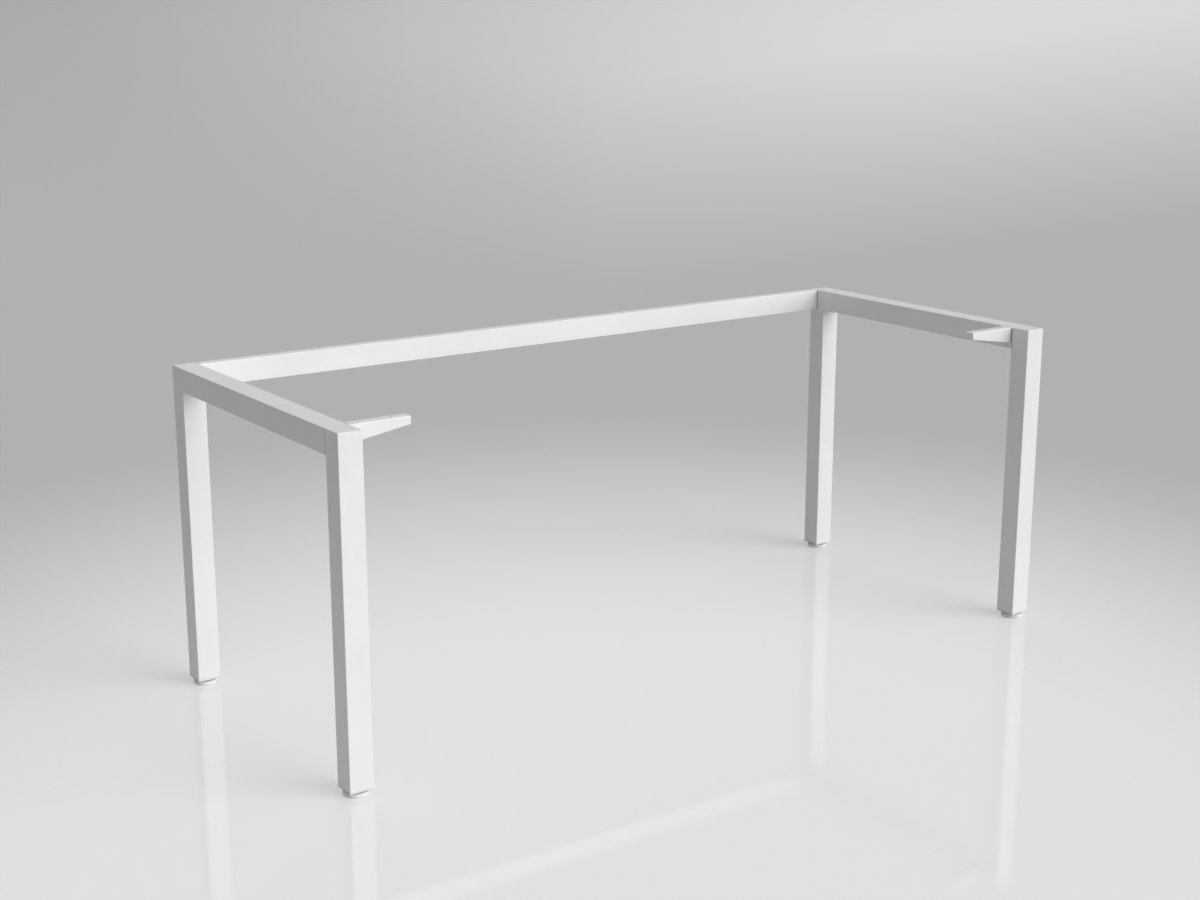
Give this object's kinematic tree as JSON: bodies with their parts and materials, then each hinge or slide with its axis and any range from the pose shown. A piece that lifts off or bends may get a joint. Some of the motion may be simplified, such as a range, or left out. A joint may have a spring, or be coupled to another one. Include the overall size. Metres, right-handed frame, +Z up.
{
  "type": "desk frame",
  "caption": "White powder-coated desk frame: square-tube end frames joined by a rear beam, tapered brackets behind the front legs, and screw-in levelling feet.",
  "frame": {"origin": "on the floor, under the centre of the frame's outline", "axes": "+X along the desk to the user's right, +Y from the user's side to the rear beam, +Z up"},
  "size_m": [1.815, 0.75, 0.7],
  "materials": {
    "powder_coated_steel": "semi-gloss white powder coat",
    "zinc_plated_steel": "bright zinc plate",
    "white_plug_plastic": "matt moulded",
    "white_foot_nylon": "glossy moulded"
  },
  "bodies": {
    "frame": {"rear_beam": "powder_coated_steel", "end_rail_left": "powder_coated_steel", "end_rail_right": "powder_coated_steel", "bracket_left": "powder_coated_steel", "bracket_right": "powder_coated_steel", "beam_end_plate_left": "powder_coated_steel", "beam_end_plate_right": "powder_coated_steel", "leg_front_left": "powder_coated_steel", "leg_front_right": "powder_coated_steel", "leg_back_left": "powder_coated_steel", "leg_back_right": "powder_coated_steel", "leg_cap_front_left": "powder_coated_steel", "leg_cap_front_right": "powder_coated_steel", "leg_cap_back_left": "powder_coated_steel", "leg_cap_back_right": "powder_coated_steel", "beam_bolts_left": "zinc_plated_steel", "beam_bolts_right": "zinc_plated_steel", "rivet_nuts_left": "zinc_plated_steel", "rivet_nuts_right": "zinc_plated_steel", "foot_nut_front_left": "zinc_plated_steel", "foot_nut_front_right": "zinc_plated_steel", "foot_nut_back_left": "zinc_plated_steel", "foot_nut_back_right": "zinc_plated_steel", "foot_plug_front_left": "white_plug_plastic", "foot_plug_front_right": "white_plug_plastic", "foot_plug_back_left": "white_plug_plastic", "foot_plug_back_right": "white_plug_plastic"},
    "foot_base_front_left": {"foot_base_front_left": "white_foot_nylon"},
    "foot_stud_front_left": {"foot_stud_front_left": "zinc_plated_steel"},
    "foot_base_front_right": {"foot_base_front_right": "white_foot_nylon"},
    "foot_stud_front_right": {"foot_stud_front_right": "zinc_plated_steel"},
    "foot_base_back_left": {"foot_base_back_left": "white_foot_nylon"},
    "foot_stud_back_left": {"foot_stud_back_left": "zinc_plated_steel"},
    "foot_base_back_right": {"foot_base_back_right": "white_foot_nylon"},
    "foot_stud_back_right": {"foot_stud_back_right": "zinc_plated_steel"}
  },
  "joints": [
    {"name": "foot_travel_front_left", "type": "slide", "parent": "frame", "child": "foot_base_front_left", "axis": [0, 0, 1], "range_m": [-0.015, 0]},
    {"name": "foot_turn_front_left", "type": "hinge", "parent": "foot_base_front_left", "child": "foot_stud_front_left", "pos_m": [-0.8825, -0.35, 0], "axis": [0, 0, 1], "range_deg": [-4320, 0]},
    {"name": "foot_travel_front_right", "type": "slide", "parent": "frame", "child": "foot_base_front_right", "axis": [0, 0, 1], "range_m": [-0.015, 0]},
    {"name": "foot_turn_front_right", "type": "hinge", "parent": "foot_base_front_right", "child": "foot_stud_front_right", "pos_m": [0.8825, -0.35, 0], "axis": [0, 0, 1], "range_deg": [-4320, 0]},
    {"name": "foot_travel_back_left", "type": "slide", "parent": "frame", "child": "foot_base_back_left", "axis": [0, 0, 1], "range_m": [-0.015, 0]},
    {"name": "foot_turn_back_left", "type": "hinge", "parent": "foot_base_back_left", "child": "foot_stud_back_left", "pos_m": [-0.8825, 0.35, 0], "axis": [0, 0, 1], "range_deg": [-4320, 0]},
    {"name": "foot_travel_back_right", "type": "slide", "parent": "frame", "child": "foot_base_back_right", "axis": [0, 0, 1], "range_m": [-0.015, 0]},
    {"name": "foot_turn_back_right", "type": "hinge", "parent": "foot_base_back_right", "child": "foot_stud_back_right", "pos_m": [0.8825, 0.35, 0], "axis": [0, 0, 1], "range_deg": [-4320, 0]}
  ],
  "couplings": [
    {"joint": "foot_turn_front_left", "follows": "foot_travel_front_left", "rad_per_m": 5026.5},
    {"joint": "foot_turn_front_right", "follows": "foot_travel_front_right", "rad_per_m": 5026.5},
    {"joint": "foot_turn_back_left", "follows": "foot_travel_back_left", "rad_per_m": 5026.5},
    {"joint": "foot_turn_back_right", "follows": "foot_travel_back_right", "rad_per_m": 5026.5}
  ]
}
